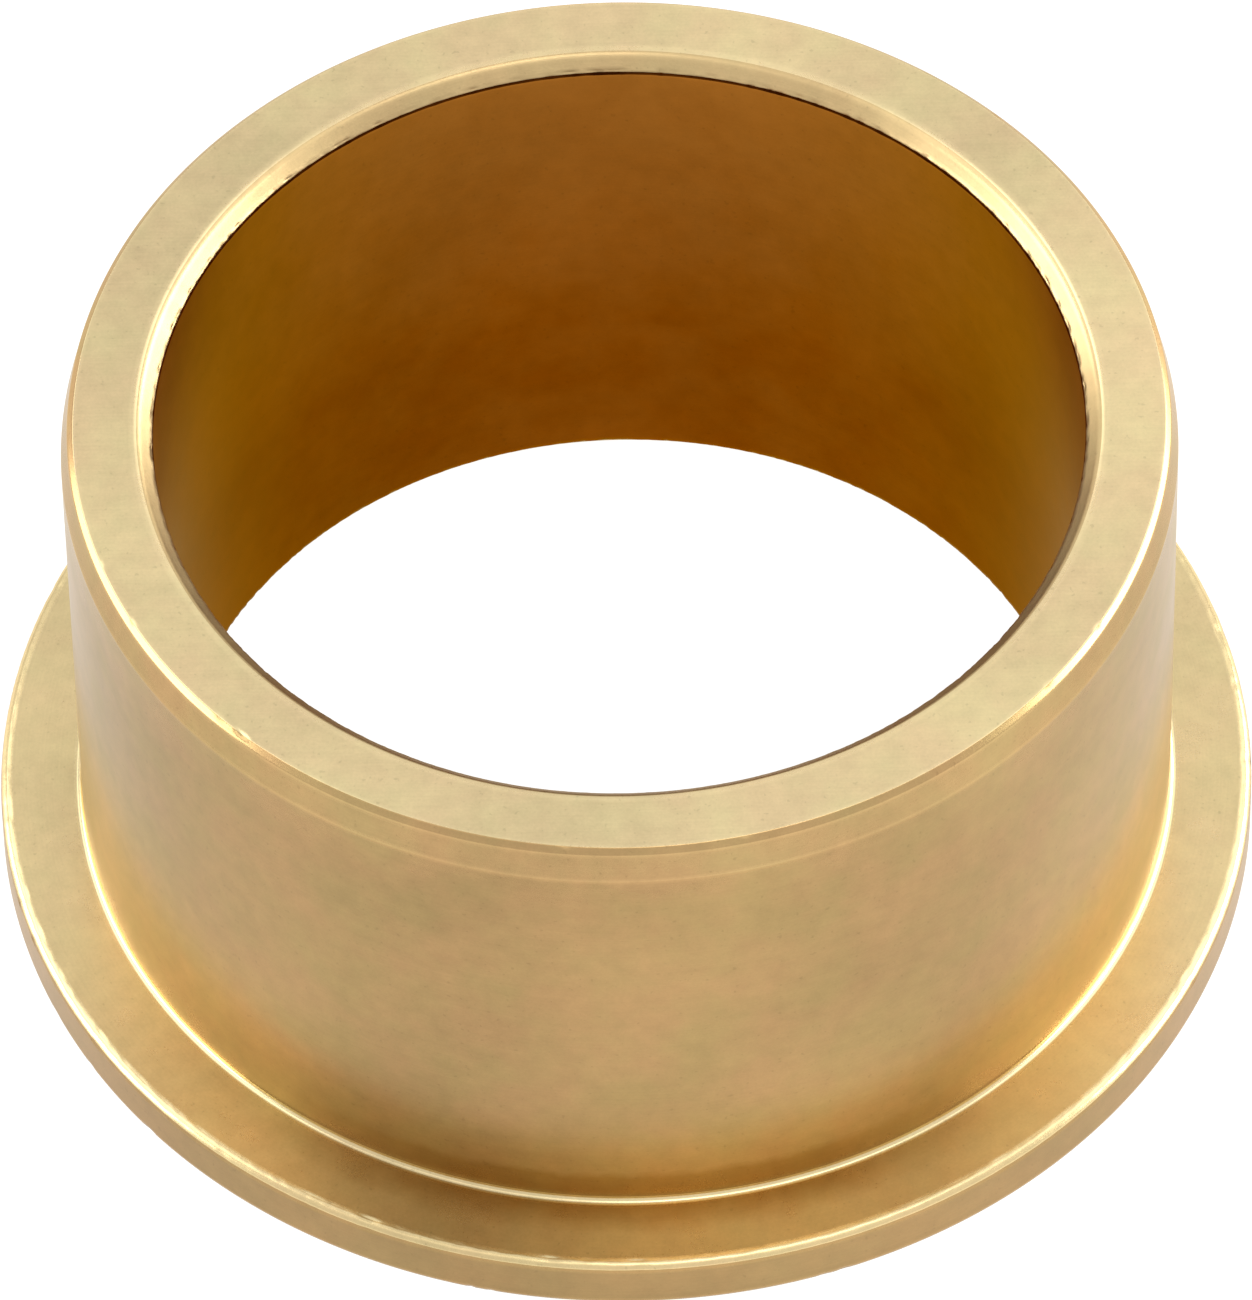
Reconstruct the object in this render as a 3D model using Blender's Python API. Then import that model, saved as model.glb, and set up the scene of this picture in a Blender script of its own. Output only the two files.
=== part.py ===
"""Flanged bronze sleeve bushing, turned from one piece of bar.

Metres, +Z up.  The origin is the centre of the flange's outer face, which is
the base, and +Z runs along the bore towards the plain end.
"""

import math

import bmesh
import bpy

# Driving dimensions, metres.
BORE_DIAMETER = 0.050
SLEEVE_DIAMETER = 0.060
FLANGE_DIAMETER = 0.069
LENGTH = 0.0334
FLANGE_THICKNESS = 0.0033

# Lead-in at the plain end, which starts the sleeve into its housing: a slow
# taper, then a broken corner at the end face.
TAPER_RADIAL = 0.0004
CORNER_BREAK = 0.0003
LEAD_IN_LENGTH = 0.0021

# Chamfer of 45 degrees at each mouth of the bore.
BORE_CHAMFER = 0.00085

# Corner between sleeve and flange, and the flange's broken outer edges.
FILLET_RADIUS = 0.0004
RIM_ROUND = 0.00035

# Facets: sides round the axis, and segments in each quarter-round corner.
SIDES = 128
FILLET_SEGMENTS = 4
RIM_SEGMENTS = 3
MERGE_DISTANCE = 0.000001
SHARP_ANGLE = math.radians(20.0)

# Bronze, linear colour.
BRONZE_COLOUR = (0.62, 0.44, 0.22, 1.0)
BRONZE_ROUGHNESS = 0.34


def clear_scene():
    for obj in list(bpy.data.objects):
        bpy.data.objects.remove(obj, do_unlink=True)


def arc(centre, radius, start, end, segments):
    """Points of a corner arc, both ends included; angles are in degrees."""
    points = []
    for index in range(segments + 1):
        angle = math.radians(start + (end - start) * index / segments)
        r = centre[0] + radius * math.cos(angle)
        z = centre[1] + radius * math.sin(angle)
        points.append((r, z))
    return points


def bushing_profile():
    """Closed (radius, height) outline of half the section, down the outside first."""
    bore = BORE_DIAMETER / 2
    sleeve = SLEEVE_DIAMETER / 2
    flange = FLANGE_DIAMETER / 2
    mouth = bore + BORE_CHAMFER
    taper_top = sleeve - TAPER_RADIAL

    outline = [
        (mouth, LENGTH),
        (taper_top - CORNER_BREAK, LENGTH),
        (taper_top, LENGTH - CORNER_BREAK),
        (sleeve, LENGTH - LEAD_IN_LENGTH),
    ]
    fillet_centre = (sleeve + FILLET_RADIUS, FLANGE_THICKNESS + FILLET_RADIUS)
    outline += arc(fillet_centre, FILLET_RADIUS, 180, 270, FILLET_SEGMENTS)
    upper_centre = (flange - RIM_ROUND, FLANGE_THICKNESS - RIM_ROUND)
    outline += arc(upper_centre, RIM_ROUND, 90, 0, RIM_SEGMENTS)
    lower_centre = (flange - RIM_ROUND, RIM_ROUND)
    outline += arc(lower_centre, RIM_ROUND, 0, -90, RIM_SEGMENTS)
    outline += [
        (mouth, 0.0),
        (bore, BORE_CHAMFER),
        (bore, LENGTH - BORE_CHAMFER),
    ]
    return outline


def profile_mesh(name, outline):
    """The outline as a closed wire in the XZ plane."""
    bm = bmesh.new()
    verts = [bm.verts.new((r, 0.0, z)) for r, z in outline]
    for index, vert in enumerate(verts):
        bm.edges.new((vert, verts[(index + 1) % len(verts)]))
    mesh = bpy.data.meshes.new(name)
    bm.to_mesh(mesh)
    bm.free()
    return mesh


def turn(obj):
    """A full turn of the outline about the Z axis."""
    screw = obj.modifiers.new("turned", "SCREW")
    screw.axis = "Z"
    screw.angle = math.tau
    screw.steps = SIDES
    screw.render_steps = SIDES
    screw.use_merge_vertices = True
    screw.merge_threshold = MERGE_DISTANCE
    screw.use_smooth_shade = False
    depsgraph = bpy.context.evaluated_depsgraph_get()
    turned = bpy.data.meshes.new_from_object(obj.evaluated_get(depsgraph))
    obj.modifiers.clear()
    obj.data = turned


def smooth_round_surfaces(mesh):
    mesh.shade_smooth()
    mesh.set_sharp_from_angle(angle=SHARP_ANGLE)


def bronze():
    material = bpy.data.materials.new("bronze")
    material.use_nodes = True
    shader = material.node_tree.nodes["Principled BSDF"]
    shader.inputs["Base Color"].default_value = BRONZE_COLOUR
    shader.inputs["Metallic"].default_value = 1.0
    shader.inputs["Roughness"].default_value = BRONZE_ROUGHNESS
    return material


def build_bushing():
    obj = bpy.data.objects.new("flanged_bushing", profile_mesh("flanged_bushing", bushing_profile()))
    bpy.context.scene.collection.objects.link(obj)
    turn(obj)
    obj.data.name = "flanged_bushing"
    smooth_round_surfaces(obj.data)
    obj.data.materials.append(bronze())
    return obj


clear_scene()
build_bushing()
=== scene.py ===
"""Looks for the flanged bronze bush: a finely turned body with lapped end faces, on a pale floor."""

import math
import random
from typing import NamedTuple

import bmesh
import bpy
from mathutils import Matrix, Vector, noise


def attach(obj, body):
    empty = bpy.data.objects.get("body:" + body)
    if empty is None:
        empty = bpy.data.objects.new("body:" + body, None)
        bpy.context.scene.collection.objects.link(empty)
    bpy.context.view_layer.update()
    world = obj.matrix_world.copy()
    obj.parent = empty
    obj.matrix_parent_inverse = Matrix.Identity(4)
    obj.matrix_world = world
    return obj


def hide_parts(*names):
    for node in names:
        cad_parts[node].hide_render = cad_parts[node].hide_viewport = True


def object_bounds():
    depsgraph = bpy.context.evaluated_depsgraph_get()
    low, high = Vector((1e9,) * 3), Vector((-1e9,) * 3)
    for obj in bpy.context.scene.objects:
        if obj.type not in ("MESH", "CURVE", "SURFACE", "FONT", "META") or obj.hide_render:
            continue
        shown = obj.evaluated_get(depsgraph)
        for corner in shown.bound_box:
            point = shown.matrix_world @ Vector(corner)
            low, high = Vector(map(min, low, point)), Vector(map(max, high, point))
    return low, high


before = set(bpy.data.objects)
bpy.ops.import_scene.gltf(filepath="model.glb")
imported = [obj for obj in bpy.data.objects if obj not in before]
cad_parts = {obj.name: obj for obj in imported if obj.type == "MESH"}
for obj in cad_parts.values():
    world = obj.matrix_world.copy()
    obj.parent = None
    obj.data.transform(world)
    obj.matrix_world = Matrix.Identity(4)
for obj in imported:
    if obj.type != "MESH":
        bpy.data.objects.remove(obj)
cad_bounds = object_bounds()

NODE = "flanged_bushing"
MM = 0.001

# Mesh resolution.
SIDES = 768
EDGE_SEGMENTS = 6
FILLET_SEGMENTS = 8
BASE_SEGMENTS = 3

# Radii that the visual mesh gives to the corners of the CAD outline.
FACE_EDGE = 0.12 * MM
MOUTH_EDGE = 0.70 * MM
BORE_EDGE = 0.34 * MM
RIM_EDGE = 0.45 * MM
LEAD_IN_SHOULDER = 0.30 * MM
LEAD_IN_FOOT = 0.60 * MM
FILLET = 0.32 * MM

# How much of the rim's top corner is cut off before its two new corners are rounded, and the
# height of the painted shade line, a dark line under the bore's top edge.
RIM_BREAK = 0.30 * MM
SHADED_LIP_HEIGHT = 0.20 * MM

# Rings in a straight run: two near each corner, which hold it flat, and the rest a step apart.
# A share is a part of the run's length.
HOLD = 0.05 * MM
HOLD_FAR = 4 * HOLD
HOLD_LIMIT_SHARE = 0.3
RUN_STEP = 3.0 * MM
RUN_MARGIN_SHARE = 0.1

# How far the wear of a corner reaches into the runs beside it.
WEAR_REACH = 0.15 * MM

# The ragged lip that the chamfering tool left round the bore, and the uneven rim.
BURR = 0.05 * MM
BURR_LAYER = 3.0
RIM_WOBBLE = 0.02 * MM
RIM_LAYER = 5.0
RAGGED_GRAIN = 0.35 * MM

# Knocks on the outer edges. A knock is a corner, an angle, a half width and a depth; a group is
# a corner, a count and the greatest depth in millimetres.
FRONT_KNOCK = ("face_edge", math.radians(226.5), 0.38 * MM, 0.10 * MM)
KNOCK_GROUPS = (("face_edge", 14, 0.03), ("rim_top", 30, 0.04), ("rim_base", 20, 0.05))
KNOCK_HALF_WIDTHS_MM = (0.15, 0.5)
KNOCK_DEPTH_SHARES = (0.25, 1.0)
KNOCK_SEED = 41

# Noise patterns: size, detail and roughness.
BROAD = (14.0 * MM, 1.0, 0.5)
CLOUDS = (4.0 * MM, 3.0, 0.55)
MOTTLE = (1.2 * MM, 3.0, 0.5)
GRAIN = (0.16 * MM, 2.0, 0.6)
PITS = (0.30 * MM, 1.0, 0.5)
FOOT_RAGGED = (1.5 * MM, 2.0, 0.5)
CORNER_RAGGED = (2.0 * MM, 2.0, 0.5)
MARK_DETAIL = 2.0
MARK_ROUGHNESS = 0.6

# The noise values between which the clouds, and the walls of the pits, go from 0 to 1.
CLOUD_RANGE = (0.35, 0.65)
PIT_RANGE = (0.24, 0.30)

# How much each pattern changes the tone.
BROAD_TONE = 0.45
MOTTLE_TONE = 0.24
GRAIN_TONE = 0.16
MARK_TONE = 0.10
PIT_TONE = 0.12
# On worn corners the lighter tone is partly real wear and partly a painted highlight.
WEAR_AND_HIGHLIGHT_TONE = 0.20

# Painted shade: the bush is made a little darker on its left; the reach is a share of the sleeve's
# radius.
LEFT_SHADE_TONE = 0.12
LEFT_SHADE_REACH = 0.6

# How much the clouds, the grain and the wear change the roughness.
CLOUD_ROUGH = 0.03
GRAIN_ROUGH = 0.04
WEAR_SMOOTH = 0.08

# Lapping scratches are stretched along X; a turned mark drifts sideways as it goes round.
LAP_STRETCH = (0.02, 1.0, 1.0)
TURN_DRIFT = 0.004

# Where a colour that rises with height starts, as a share of the length; the bore's rise is painted
# shade, darker towards its bottom.
SHADE_RISE_START = 0.35

# Painted shade in the corner between sleeve and flange, which lies at the front only. The front's
# limits are shares of the sleeve's radius.
FRONT_START = 0.78
FRONT_FULL = 0.97
FOOT_TOP = 5.8 * MM
FOOT_FADE = 0.6 * MM
FOOT_SWING = 0.8 * MM
FOOT_DEPTH = 0.7
CORNER_REACH = 2.4 * MM
CORNER_SWING = 1.0 * MM
CORNER_DEPTH = 0.75


class Finish(NamedTuple):
    """How one machined zone looks.

    Its colour is a cloudy mix of warm and cool, and rise is the share of that mix which goes by
    height instead; in the bore that is painted shade, darker towards its bottom. Grazing is the
    metal's tint where it is seen edge on. Marks are the tool's fine lines. The last two fields
    name the painted shade that lies on the zone, if any, and give its colour.
    """

    warm: tuple
    cool: tuple
    grazing: tuple
    roughness: float
    mark_size: float
    mark_depth: float
    grain_depth: float
    lapped: bool = False
    rise: float = 0.0
    painted_shade: str = ""
    shade_colour: tuple = ()


FINISHES = {
    "face": Finish(
        warm=(0.685, 0.528, 0.298), cool=(0.665, 0.548, 0.298), grazing=(1.0, 0.95, 0.85),
        roughness=0.36, mark_size=0.12 * MM, mark_depth=0.003 * MM, grain_depth=0.002 * MM,
        lapped=True,
    ),
    "lead_in": Finish(
        warm=(0.455, 0.287, 0.129), cool=(0.425, 0.297, 0.129), grazing=(0.86, 0.83, 0.74),
        roughness=0.30, mark_size=0.10 * MM, mark_depth=0.0006 * MM, grain_depth=0.0004 * MM,
    ),
    # Painted shade: the sleeve's foot is darker at the front.
    "sleeve": Finish(
        warm=(0.425, 0.262, 0.114), cool=(0.395, 0.268, 0.110), grazing=(0.9, 0.9, 0.85),
        roughness=0.30, mark_size=0.10 * MM, mark_depth=0.001 * MM, grain_depth=0.0012 * MM,
        painted_shade="foot", shade_colour=(0.31, 0.178, 0.045),
    ),
    "fillet": Finish(
        warm=(0.64, 0.50, 0.28), cool=(0.62, 0.51, 0.28), grazing=(1.0, 0.95, 0.85),
        roughness=0.30, mark_size=0.10 * MM, mark_depth=0.0005 * MM, grain_depth=0.0003 * MM,
    ),
    # Painted shade: the flange top is darker beside the sleeve at the front.
    "shoulder": Finish(
        warm=(0.70, 0.54, 0.29), cool=(0.68, 0.55, 0.29), grazing=(1.0, 0.9, 0.7),
        roughness=0.31, mark_size=0.10 * MM, mark_depth=0.001 * MM, grain_depth=0.0008 * MM,
        painted_shade="corner", shade_colour=(0.36, 0.16, 0.0),
    ),
    # The rim's top break is paler than the rim: partly the flange top's finish, partly a painted
    # highlight along the break.
    "edge": Finish(
        warm=(0.64, 0.48, 0.25), cool=(0.62, 0.49, 0.25), grazing=(1.0, 0.95, 0.85),
        roughness=0.34, mark_size=0.10 * MM, mark_depth=0.001 * MM, grain_depth=0.001 * MM,
    ),
    "rim": Finish(
        warm=(0.38, 0.24, 0.10), cool=(0.36, 0.24, 0.10), grazing=(1.0, 0.95, 0.9),
        roughness=0.34, mark_size=0.10 * MM, mark_depth=0.002 * MM, grain_depth=0.002 * MM,
    ),
    "base": Finish(
        warm=(0.62, 0.43, 0.20), cool=(0.58, 0.43, 0.19), grazing=(1.0, 0.9, 0.8),
        roughness=0.36, mark_size=0.14 * MM, mark_depth=0.003 * MM, grain_depth=0.002 * MM,
    ),
    "chamfer": Finish(
        warm=(0.475, 0.34, 0.168), cool=(0.455, 0.34, 0.168), grazing=(1.0, 0.95, 0.8),
        roughness=0.42, mark_size=0.08 * MM, mark_depth=0.002 * MM, grain_depth=0.005 * MM,
    ),
    # Painted shade: a near-black line at the foot of the bore's chamfer, standing in for the shade
    # and dark reflection in that crease.
    "shaded_lip": Finish(
        warm=(0.06, 0.015, 0.002), cool=(0.10, 0.03, 0.005), grazing=(0.8, 0.4, 0.1),
        roughness=0.45, mark_size=0.08 * MM, mark_depth=0.002 * MM, grain_depth=0.003 * MM,
    ),
    # Painted shade: the bore's colours are far darker than the outside's, and rise makes them darker
    # still towards its bottom.
    "bore": Finish(
        warm=(0.175, 0.041, 0.0), cool=(0.33, 0.123, 0.018), grazing=(0.86, 0.70, 0.41),
        roughness=0.36, mark_size=0.10 * MM, mark_depth=0.001 * MM, grain_depth=0.0015 * MM,
        rise=0.85,
    ),
}

# Camera. Its aim height is a share of the bush's length.
CAMERA_ELEVATION = math.radians(51.43)
CAMERA_DISTANCE = 0.804
CAMERA_ROLL = math.radians(-1.13)
AIM_SIDE = 0.13 * MM
AIM_HEIGHT = 0.396
LENS_MM = 407.5
SENSOR_MM = 36.0
CLIP_START = 0.01
CLIP_END = 20.0

# Floor, which lies just under the base so that the two faces don't coincide, and world.
FLOOR_SIZE = 6.0
FLOOR_GAP = 0.1 * MM
FLOOR_ALBEDO = 0.16
FLOOR_ROUGHNESS = 0.9
FLOOR_GLOW = 0.98
WORLD_STRENGTH = 0.94

# Lights: name, azimuth and elevation in degrees, width, height and radiance.
SOFTBOX_DISTANCE = 0.60
SOFTBOXES = [
    ("left_low_softbox", 173, 16, 0.54, 0.32, 4.8),
    ("right_low_softbox", 16, 16, 0.58, 0.32, 7.0),
    ("left_high_softbox", 158, 52, 0.60, 0.24, 1.55),
    ("right_high_softbox", 26, 52, 0.60, 0.24, 1.1),
    ("front_fill_softbox", -95, 56, 0.66, 0.20, 0.45),
    ("front_softbox", -60, 66, 0.36, 0.14, 2.4),
]


# ---------------------------------------------------------------- outline


class Corner(NamedTuple):
    """A corner of the outline: its (radius, height), its rounding and the zone that follows it."""

    name: str
    place: tuple
    rounding: float
    segments: int
    zone: str


def cad_rings(obj):
    """The turned outline's distinct (radius, height) rings, in metres."""
    rings = set()
    for vertex in obj.data.vertices:
        radius = math.hypot(vertex.co.x, vertex.co.y)
        rings.add((round(radius, 6), round(vertex.co.z, 6)))
    return rings


def read_sizes(rings):
    """Named sizes of the bush, read from its CAD rings."""
    length = max(z for r, z in rings)
    bore = min(r for r, z in rings)
    flange = max(r for r, z in rings)
    face = [r for r, z in rings if z == length]
    sleeve = max(r for r, z in rings if z > length / 2)
    thickness = max(z for r, z in rings if r > (sleeve + flange) / 2)
    taper_start = max(z for r, z in rings if r == sleeve)
    return {
        "length": length,
        "bore": bore,
        "flange": flange,
        "mouth": min(face),
        "face": max(face),
        "sleeve": sleeve,
        "thickness": thickness,
        "rim_round": thickness - max(z for r, z in rings if r == flange),
        "taper_start": taper_start,
        "taper_top": min((r, z) for r, z in rings if taper_start < z < length and r > max(face)),
        "chamfer": length - max(z for r, z in rings if r == bore),
    }


def outline_corners(size):
    """The outline's corners: outwards over the end face, down, under the flange and up the bore."""
    length = size["length"]
    sleeve = size["sleeve"]
    flange = size["flange"]
    thickness = size["thickness"]
    mouth = size["mouth"]
    bore = size["bore"]
    chamfer = size["chamfer"]
    return [
        Corner("mouth", (mouth, length), MOUTH_EDGE, EDGE_SEGMENTS, "face"),
        Corner("face_edge", (size["face"], length), FACE_EDGE, EDGE_SEGMENTS, "lead_in"),
        Corner("taper_top", size["taper_top"], LEAD_IN_SHOULDER, EDGE_SEGMENTS, "lead_in"),
        Corner("taper_foot", (sleeve, size["taper_start"]), LEAD_IN_FOOT, EDGE_SEGMENTS, "sleeve"),
        Corner("fillet", (sleeve, thickness), FILLET, FILLET_SEGMENTS, "shoulder"),
        Corner("rim_top", (flange - RIM_BREAK, thickness), RIM_EDGE, EDGE_SEGMENTS, "edge"),
        Corner("rim_side", (flange, thickness - RIM_BREAK), RIM_EDGE, EDGE_SEGMENTS, "rim"),
        Corner("rim_base", (flange, 0.0), size["rim_round"], BASE_SEGMENTS, "base"),
        Corner("base_mouth", (mouth, 0.0), MOUTH_EDGE, BASE_SEGMENTS, "chamfer"),
        Corner("base_bore", (bore, chamfer), BORE_EDGE, BASE_SEGMENTS, "bore"),
        # Painted shade: the run from here up to the bore's top edge is the dark line under the
        # chamfer.
        Corner("shaded_lip", (bore, length - chamfer - SHADED_LIP_HEIGHT), 0.0, 0, "shaded_lip"),
        Corner("bore_edge", (bore, length - chamfer), BORE_EDGE, EDGE_SEGMENTS, "chamfer"),
    ]


def corner_arc(before, corner, after):
    """Points of the arc that rounds a corner; one plain point when it has no segments."""
    tip = Vector(corner.place)
    if corner.segments == 0:
        return [tip]
    back = (Vector(before.place) - tip).normalized()
    onward = (Vector(after.place) - tip).normalized()
    half = back.angle(onward) / 2
    reach = corner.rounding / math.tan(half)
    centre = tip + (back + onward).normalized() * (corner.rounding / math.sin(half))
    start = tip + back * reach - centre
    end = tip + onward * reach - centre
    swing = start.angle_signed(end)
    points = []
    for index in range(corner.segments + 1):
        turn = Matrix.Rotation(-swing * index / corner.segments, 2)
        points.append(centre + turn @ start)
    return points


def corner_rings(corner, zone_before, arc):
    """Rings round one corner: half of them belong to the zone before it, but not at the fillet."""
    rings = []
    for step, place in enumerate(arc):
        zone = zone_before if step < corner.segments // 2 else corner.zone
        if corner.name == "fillet":
            zone = "fillet"
        rings.append({"place": place, "zone": zone, "corner": corner.name, "wear": 1.0})
    return rings


def run_shares(length):
    """Where the rings of a straight run lie, as shares of its length."""
    near = [share for share in (HOLD / length, HOLD_FAR / length) if share < HOLD_LIMIT_SHARE]
    shares = near + [1 - share for share in near]
    count = round(length / RUN_STEP)
    for index in range(1, count):
        if RUN_MARGIN_SHARE < index / count < 1 - RUN_MARGIN_SHARE:
            shares.append(index / count)
    return sorted(shares)


def run_rings(zone, start, end):
    """Rings along the straight run between two corners, worn near its ends."""
    length = (end - start).length
    rings = []
    for share in run_shares(length):
        along = share * length
        wear = math.exp(-min(along, length - along) / WEAR_REACH)
        rings.append({"place": start.lerp(end, share), "zone": zone, "corner": None, "wear": wear})
    return rings


def build_outline(size):
    """The fine outline as a closed list of rings: place, zone, corner name and wear."""
    corners = outline_corners(size)
    arcs = []
    for index, corner in enumerate(corners):
        after = corners[(index + 1) % len(corners)]
        arcs.append(corner_arc(corners[index - 1], corner, after))
    rings = []
    for index, corner in enumerate(corners):
        next_arc = arcs[(index + 1) % len(arcs)]
        rings += corner_rings(corner, corners[index - 1].zone, arcs[index])
        rings += run_rings(corner.zone, arcs[index][-1], next_arc[0])
    return rings


def outline_normals(rings):
    """Outward direction of the outline at each ring, in the (radius, height) plane."""
    normals = []
    for index in range(len(rings)):
        before = rings[index - 1]["place"]
        after = rings[(index + 1) % len(rings)]["place"]
        along = (after - before).normalized()
        normals.append(Vector((-along.y, along.x)))
    return normals


# ------------------------------------------------------ knocks and burrs


def make_knocks():
    """The knock on the front left of the end face, and small random ones on the outer edges."""
    rng = random.Random(KNOCK_SEED)
    knocks = [FRONT_KNOCK]
    for corner, count, deepest in KNOCK_GROUPS:
        for _ in range(count):
            angle = rng.uniform(0, math.tau)
            half_width = rng.uniform(*KNOCK_HALF_WIDTHS_MM) * MM
            depth = rng.uniform(*KNOCK_DEPTH_SHARES) * deepest * MM
            knocks.append((corner, angle, half_width, depth))
    return knocks


def knock_depth(knocks, corner, angle, radius):
    """How deep the knocks are at one point of a corner."""
    depth = 0.0
    for name, centre, half_width, deepest in knocks:
        if name != corner:
            continue
        apart = abs((angle - centre + math.pi) % math.tau - math.pi) * radius
        if apart < half_width:
            depth = max(depth, deepest * (1 - (apart / half_width) ** 2))
    return depth


def ragged(angle, radius, layer):
    """Noise round a circle, from 0 to 1, with features about one grain long."""
    reach = radius / RAGGED_GRAIN
    value = noise.noise(Vector((math.cos(angle) * reach, math.sin(angle) * reach, layer)))
    return min(1.0, max(0.0, 0.5 + value))


def ring_shift(ring, angle, radius, knocks):
    """Metres that a point moves inwards, into the metal."""
    corner = ring["corner"]
    if corner in ("face_edge", "rim_base"):
        return knock_depth(knocks, corner, angle, radius)
    if corner in ("rim_top", "rim_side"):
        wobble = RIM_WOBBLE * ragged(angle, radius, RIM_LAYER)
        return wobble + knock_depth(knocks, "rim_top", angle, radius)
    if corner in ("bore_edge", "base_bore"):
        return BURR * ragged(angle, radius, BURR_LAYER) ** 2
    return 0.0


# ------------------------------------------------------------------ mesh


def add_object(name, data):
    """A new object in the scene."""
    obj = bpy.data.objects.new(name, data)
    bpy.context.scene.collection.objects.link(obj)
    return obj


def turn_rings(bm, rings):
    """A row of vertices for each ring, with its knocks, its burr and its wear."""
    knocks = make_knocks()
    wear_layer = bm.verts.layers.float.new("wear")
    rows = []
    for ring, normal in zip(rings, outline_normals(rings)):
        row = []
        for side in range(SIDES):
            angle = math.tau * side / SIDES
            shift = ring_shift(ring, angle, ring["place"].x, knocks)
            r = ring["place"].x - normal.x * shift
            z = ring["place"].y - normal.y * shift
            vert = bm.verts.new((r * math.cos(angle), r * math.sin(angle), z))
            vert[wear_layer] = ring["wear"]
            row.append(vert)
        rows.append(row)
    return rows


def skin_rows(bm, rings, rows, zones):
    """Joins each row to the next, and gives the strip between them its zone's material."""
    for index, ring in enumerate(rings):
        upper = rows[index]
        lower = rows[(index + 1) % len(rows)]
        slot = zones.index(ring["zone"])
        for side in range(SIDES):
            other = (side + 1) % SIDES
            face = bm.faces.new((upper[side], lower[side], lower[other], upper[other]))
            face.material_index = slot
            face.smooth = True


def turned_body(name, rings, materials):
    """The bush as one closed mesh, turned about Z, with a material for each machined zone."""
    bm = bmesh.new()
    rows = turn_rings(bm, rings)
    skin_rows(bm, rings, rows, list(materials))
    mesh = bpy.data.meshes.new(name)
    bm.to_mesh(mesh)
    bm.free()
    for material in materials.values():
        mesh.materials.append(material)
    return add_object(name, mesh)


# ------------------------------------------------------------- materials


def colour(red, green, blue):
    return (red, green, blue, 1.0)


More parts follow.
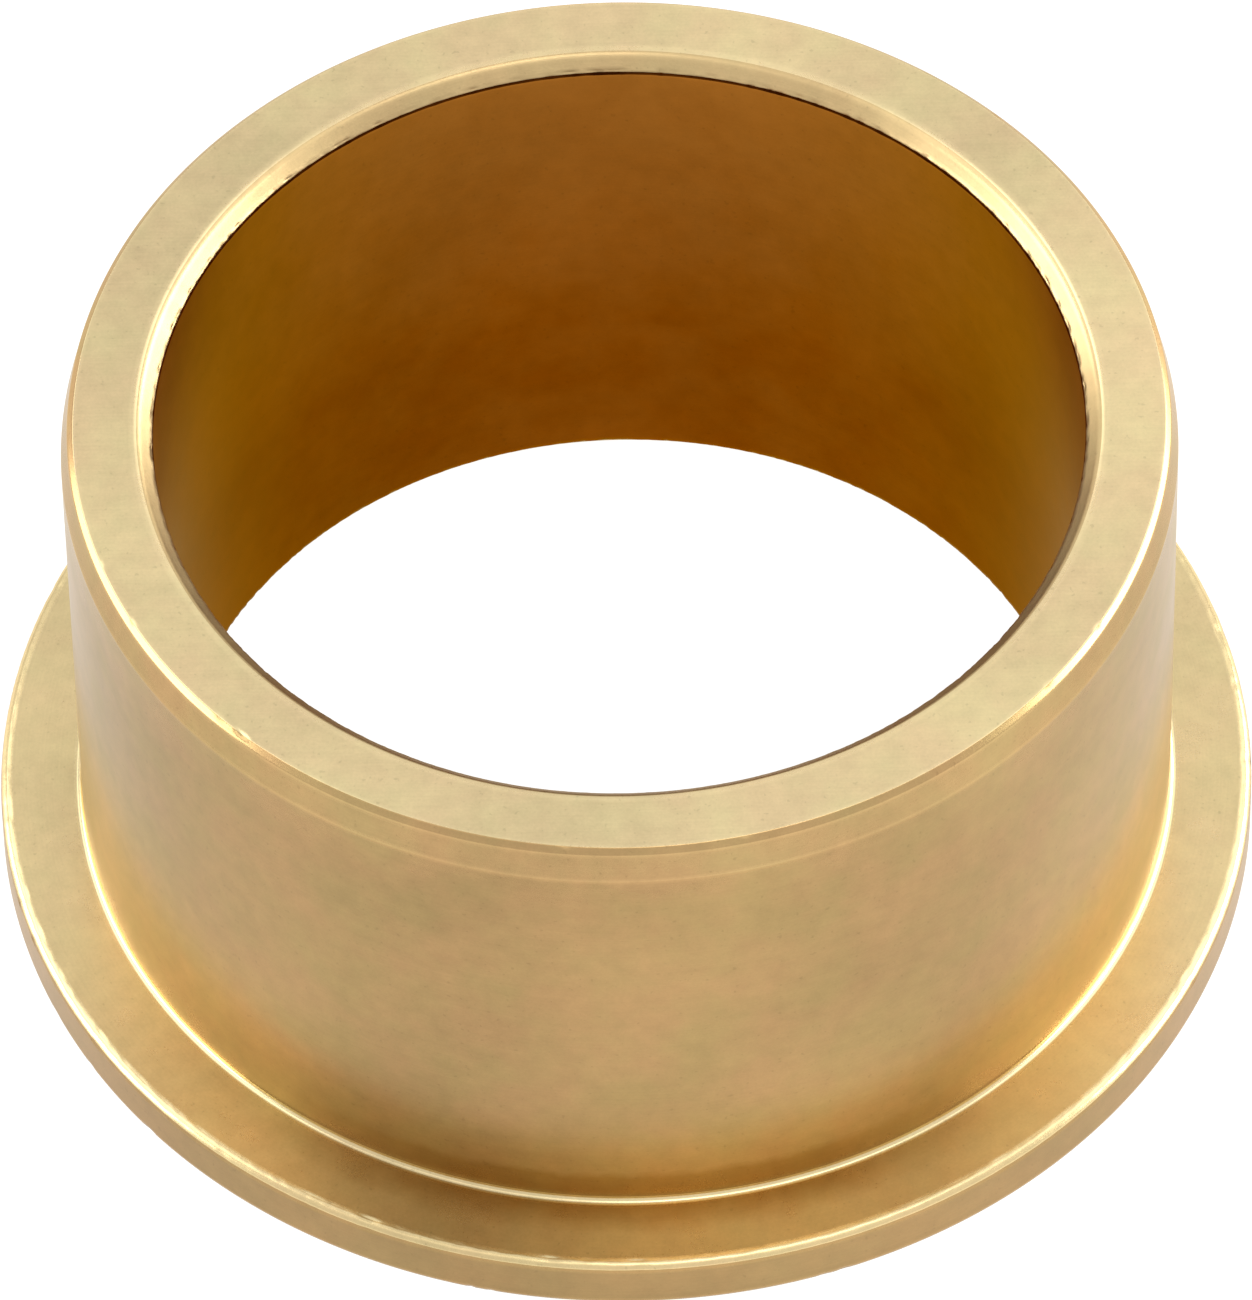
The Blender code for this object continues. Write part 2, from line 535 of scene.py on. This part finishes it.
class Graph:
    """Short calls for building one material's nodes, and the sockets that give a point's place."""

    def __init__(self, name):
        self.material = bpy.data.materials.new(name)
        self.material.use_nodes = True
        self.tree = self.material.node_tree
        self.shader = self.tree.nodes["Principled BSDF"]
        self.place = self.add("ShaderNodeTexCoord").outputs["Object"]
        parts = self.add("ShaderNodeSeparateXYZ")
        self.link(self.place, parts.inputs[0])
        self.side = parts.outputs["X"]
        self.depth = parts.outputs["Y"]
        self.height = parts.outputs["Z"]
        flat = self.add("ShaderNodeCombineXYZ")
        self.link(self.side, flat.inputs["X"])
        self.link(self.depth, flat.inputs["Y"])
        length = self.add("ShaderNodeVectorMath", operation="LENGTH")
        self.link(flat.outputs[0], length.inputs[0])
        self.radius = length.outputs["Value"]

    def add(self, kind, **settings):
        """A new node with the given settings."""
        node = self.tree.nodes.new(kind)
        for key, value in settings.items():
            setattr(node, key, value)
        return node

    def link(self, source, target):
        self.tree.links.new(source, target)

    def feed(self, target, value):
        """Links a socket, or sets a constant on it."""
        if isinstance(value, bpy.types.NodeSocket):
            self.link(value, target)
        else:
            target.default_value = value

    def math(self, operation, first, second, clamp=False):
        node = self.add("ShaderNodeMath", operation=operation, use_clamp=clamp)
        self.feed(node.inputs[0], first)
        self.feed(node.inputs[1], second)
        return node.outputs[0]

    def noise(self, vector, size, detail, roughness):
        """Noise from 0 to 1 whose features are about size metres across."""
        node = self.add("ShaderNodeTexNoise")
        self.link(vector, node.inputs["Vector"])
        node.inputs["Scale"].default_value = 1.0 / size
        node.inputs["Detail"].default_value = detail
        node.inputs["Roughness"].default_value = roughness
        return node.outputs["Fac"]

    def stretched(self, scale):
        """Object coordinates scaled along X, Y and Z."""
        node = self.add("ShaderNodeMapping", vector_type="POINT")
        self.link(self.place, node.inputs["Vector"])
        node.inputs["Scale"].default_value = scale
        return node.outputs["Vector"]

    def turned(self, drift):
        """Coordinates across a lathe's tool marks: radius and height, drifting slowly round."""
        marks = self.add("ShaderNodeCombineXYZ")
        across = self.math("ADD", self.radius, self.math("MULTIPLY", self.side, drift))
        self.link(across, marks.inputs["X"])
        self.link(self.height, marks.inputs["Y"])
        self.link(self.math("MULTIPLY", self.depth, drift), marks.inputs["Z"])
        return marks.outputs[0]

    def ramp(self, value, low, high):
        """Rescales a value so that low gives 0 and high gives 1, and clamps it to that range."""
        node = self.add("ShaderNodeMapRange", clamp=True)
        self.link(value, node.inputs["Value"])
        node.inputs["From Min"].default_value = low
        node.inputs["From Max"].default_value = high
        return node.outputs["Result"]

    def swing(self, value, reach):
        """A value from 0 to 1 turned into a change of plus or minus half of reach."""
        return self.math("MULTIPLY", self.math("SUBTRACT", value, 0.5), reach)

    def blend(self, share, first, second):
        """Moves a value a fixed share of the way towards another."""
        kept = self.math("MULTIPLY", first, 1.0 - share)
        return self.math("ADD", kept, self.math("MULTIPLY", second, share))

    def scaled(self, surface, amount):
        """A colour made lighter or darker by an amount."""
        node = self.add("ShaderNodeVectorMath", operation="SCALE")
        self.link(surface, node.inputs[0])
        self.link(amount, node.inputs["Scale"])
        return node.outputs["Vector"]

    def mix(self, share, first, second):
        """A mix of two colours. The node's colour sockets are inputs 6 and 7 and output 2."""
        node = self.add("ShaderNodeMix", data_type="RGBA")
        self.feed(node.inputs[0], share)
        self.feed(node.inputs[6], first)
        self.feed(node.inputs[7], second)
        return node.outputs[2]

    def wear(self):
        """The mesh's wear: 1 on its corners, fading beside them. It smooths the worn corners and
        lightens them, partly as a painted highlight.
        """
        node = self.add("ShaderNodeAttribute", attribute_name="wear", attribute_type="GEOMETRY")
        return node.outputs["Fac"]

    def bump(self, height, distance, below=None):
        """Relief of the given height in metres, on top of any relief below it."""
        node = self.add("ShaderNodeBump")
        node.inputs["Distance"].default_value = distance
        self.link(height, node.inputs["Height"])
        if below is not None:
            self.link(below, node.inputs["Normal"])
        return node.outputs["Normal"]


def at_front(graph, size):
    """1 along the front of the bush, fading to 0 towards its sides."""
    sleeve = size["sleeve"]
    return graph.ramp(graph.depth, -FRONT_START * sleeve, -FRONT_FULL * sleeve)


def foot_shade(graph, size):
    """How much painted shade darkens the foot of the sleeve, at the front only, from 0 up to
    FOOT_DEPTH.
    """
    uneven = graph.swing(graph.noise(graph.place, *FOOT_RAGGED), FOOT_SWING)
    height = graph.math("ADD", graph.height, uneven)
    low = graph.ramp(height, FOOT_TOP, FOOT_TOP - FOOT_FADE)
    painted_shade = graph.math("MULTIPLY", low, at_front(graph, size))
    return graph.math("MULTIPLY", painted_shade, FOOT_DEPTH)


def corner_shade(graph, size):
    """How much painted shade darkens the flange towards the sleeve, at the front only, from 0 up to
    CORNER_DEPTH.
    """
    uneven = graph.swing(graph.noise(graph.place, *CORNER_RAGGED), CORNER_SWING)
    radius = graph.math("ADD", graph.radius, uneven)
    near = graph.ramp(radius, size["sleeve"] + CORNER_REACH, size["sleeve"])
    painted_shade = graph.math("MULTIPLY", near, at_front(graph, size))
    return graph.math("MULTIPLY", painted_shade, CORNER_DEPTH)


# Painted shade on the foot of the sleeve and in the corner of the flange, by name.
PAINTED_SHADES = {"foot": foot_shade, "corner": corner_shade}


def tool_marks(graph, finish):
    """The fine lines that a lap or a lathe tool leaves, as noise from 0 to 1."""
    if finish.lapped:
        lines = graph.stretched(LAP_STRETCH)
    else:
        lines = graph.turned(TURN_DRIFT)
    return graph.noise(lines, finish.mark_size, MARK_DETAIL, MARK_ROUGHNESS)


def base_colour(graph, finish, clouds, size):
    """The two colours of a finish, mixed by the clouds and the height, with its painted shade over
    them.
    """
    height = graph.ramp(graph.height, SHADE_RISE_START * size["length"], size["length"])
    share = graph.blend(finish.rise, clouds, height)
    surface = graph.mix(share, colour(*finish.warm), colour(*finish.cool))
    if finish.painted_shade:
        painted_shade = PAINTED_SHADES[finish.painted_shade](graph, size)
        surface = graph.mix(painted_shade, surface, colour(*finish.shade_colour))
    return surface


def surface_tone(graph, grain, marks, size):
    """How light each point is, around 1, with painted shade on the left and a partly painted
    highlight on worn corners.
    """
    broad = graph.noise(graph.place, *BROAD)
    mottle = graph.noise(graph.place, *MOTTLE)
    # Painted shade: the left side is made darker.
    left_shade = graph.ramp(graph.side, 0.0, -LEFT_SHADE_REACH * size["sleeve"])
    tone = graph.math("ADD", graph.swing(grain, GRAIN_TONE), graph.swing(marks, MARK_TONE))
    tone = graph.math("ADD", tone, graph.swing(broad, BROAD_TONE))
    tone = graph.math("ADD", tone, graph.swing(mottle, MOTTLE_TONE))
    # Worn corners are made lighter: partly real wear, partly a painted highlight.
    tone = graph.math("ADD", tone, graph.math("MULTIPLY", graph.wear(), WEAR_AND_HIGHLIGHT_TONE))
    tone = graph.math("SUBTRACT", tone, graph.math("MULTIPLY", left_shade, LEFT_SHADE_TONE))
    tone = graph.math("ADD", tone, 1.0)
    outside_pits = graph.ramp(graph.noise(graph.place, *PITS), *PIT_RANGE)
    pitted = graph.math("ADD", graph.math("MULTIPLY", outside_pits, PIT_TONE), 1.0 - PIT_TONE)
    return graph.math("MULTIPLY", tone, pitted)


def surface_roughness(graph, finish, clouds, grain):
    """The roughness of a finish, slightly uneven, and lower where a corner is worn."""
    rough = graph.math("ADD", graph.swing(clouds, CLOUD_ROUGH), graph.swing(grain, GRAIN_ROUGH))
    rough = graph.math("ADD", rough, finish.roughness)
    smoother = graph.math("MULTIPLY", graph.wear(), WEAR_SMOOTH)
    return graph.math("SUBTRACT", rough, smoother, clamp=True)


def bronze(name, finish, size):
    """Machined bronze: cloudy colour, grain, tool marks, small pits and smoother worn edges."""
    graph = Graph(name)
    clouds = graph.ramp(graph.noise(graph.place, *CLOUDS), *CLOUD_RANGE)
    grain = graph.noise(graph.place, *GRAIN)
    marks = tool_marks(graph, finish)
    surface = base_colour(graph, finish, clouds, size)
    tone = surface_tone(graph, grain, marks, size)
    relief = graph.bump(grain, finish.grain_depth)
    relief = graph.bump(marks, finish.mark_depth, relief)
    inputs = graph.shader.inputs
    graph.link(graph.scaled(surface, tone), inputs["Base Color"])
    graph.link(surface_roughness(graph, finish, clouds, grain), inputs["Roughness"])
    graph.link(relief, inputs["Normal"])
    inputs["Metallic"].default_value = 1.0
    inputs["Specular Tint"].default_value = colour(*finish.grazing)
    return graph.material


def bush_materials(size):
    """One finish for each machined zone."""
    return {zone: bronze("bronze_" + zone, finish, size) for zone, finish in FINISHES.items()}


# ---------------------------------------------------------------- studio


def build_camera():
    """A camera with a long lens, above the front of the bush and slightly rolled."""
    data = bpy.data.cameras.new("camera")
    data.lens = LENS_MM
    data.sensor_width = SENSOR_MM
    data.clip_start = CLIP_START
    data.clip_end = CLIP_END
    camera = add_object("camera", data)
    aim = Vector((AIM_SIDE, 0.0, AIM_HEIGHT * cad_bounds[1][2]))
    back = Vector((0.0, -math.cos(CAMERA_ELEVATION), math.sin(CAMERA_ELEVATION)))
    place = Matrix.Translation(aim + back * CAMERA_DISTANCE)
    facing = back.to_track_quat("Z", "Y").to_matrix().to_4x4()
    roll = Matrix.Rotation(CAMERA_ROLL, 4, "Z")
    camera.matrix_world = place @ facing @ roll
    bpy.context.scene.camera = camera


def floor_material():
    """Plain, pale and evenly glowing, so that it reads as the photo's white ground."""
    material = bpy.data.materials.new("pale_floor")
    material.use_nodes = True
    inputs = material.node_tree.nodes["Principled BSDF"].inputs
    inputs["Base Color"].default_value = colour(FLOOR_ALBEDO, FLOOR_ALBEDO, FLOOR_ALBEDO)
    inputs["Roughness"].default_value = FLOOR_ROUGHNESS
    inputs["Emission Color"].default_value = colour(1.0, 1.0, 1.0)
    inputs["Emission Strength"].default_value = FLOOR_GLOW
    return material


def build_floor():
    """One square face under the bush."""
    half = FLOOR_SIZE / 2
    corners = ((-half, -half), (half, -half), (half, half), (-half, half))
    bm = bmesh.new()
    bm.faces.new([bm.verts.new((x, y, -FLOOR_GAP)) for x, y in corners])
    mesh = bpy.data.meshes.new("floor")
    bm.to_mesh(mesh)
    bm.free()
    mesh.materials.append(floor_material())
    floor = add_object("floor", mesh)


def softbox(name, azimuth, elevation, width, height, radiance):
    """A rectangular studio light that faces the bush, with the power that gives its radiance."""
    data = bpy.data.lights.new(name, "AREA")
    data.shape = "RECTANGLE"
    data.size = width
    data.size_y = height
    data.energy = radiance * math.pi * width * height
    light = add_object(name, data)
    turn = math.radians(azimuth)
    rise = math.radians(elevation)
    away = Vector((math.cos(turn) * math.cos(rise), math.sin(turn) * math.cos(rise), math.sin(rise)))
    light.location = Vector((0.0, 0.0, cad_bounds[1][2] / 2)) + away * SOFTBOX_DISTANCE
    light.rotation_euler = away.to_track_quat("Z", "Y").to_euler()


def build_world():
    """An even white surround."""
    world = bpy.data.worlds.new("studio")
    bpy.context.scene.world = world
    world.use_nodes = True
    background = world.node_tree.nodes["Background"]
    background.inputs["Color"].default_value = colour(1.0, 1.0, 1.0)
    background.inputs["Strength"].default_value = WORLD_STRENGTH


size = read_sizes(cad_rings(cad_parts[NODE]))
body = turned_body("bronze_bush", build_outline(size), bush_materials(size))
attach(body, "root")
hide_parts(NODE)

build_camera()
build_floor()
for light in SOFTBOXES:
    softbox(*light)
build_world()
bpy.context.scene.view_settings.view_transform = "Standard"

bpy.context.view_layer.update()
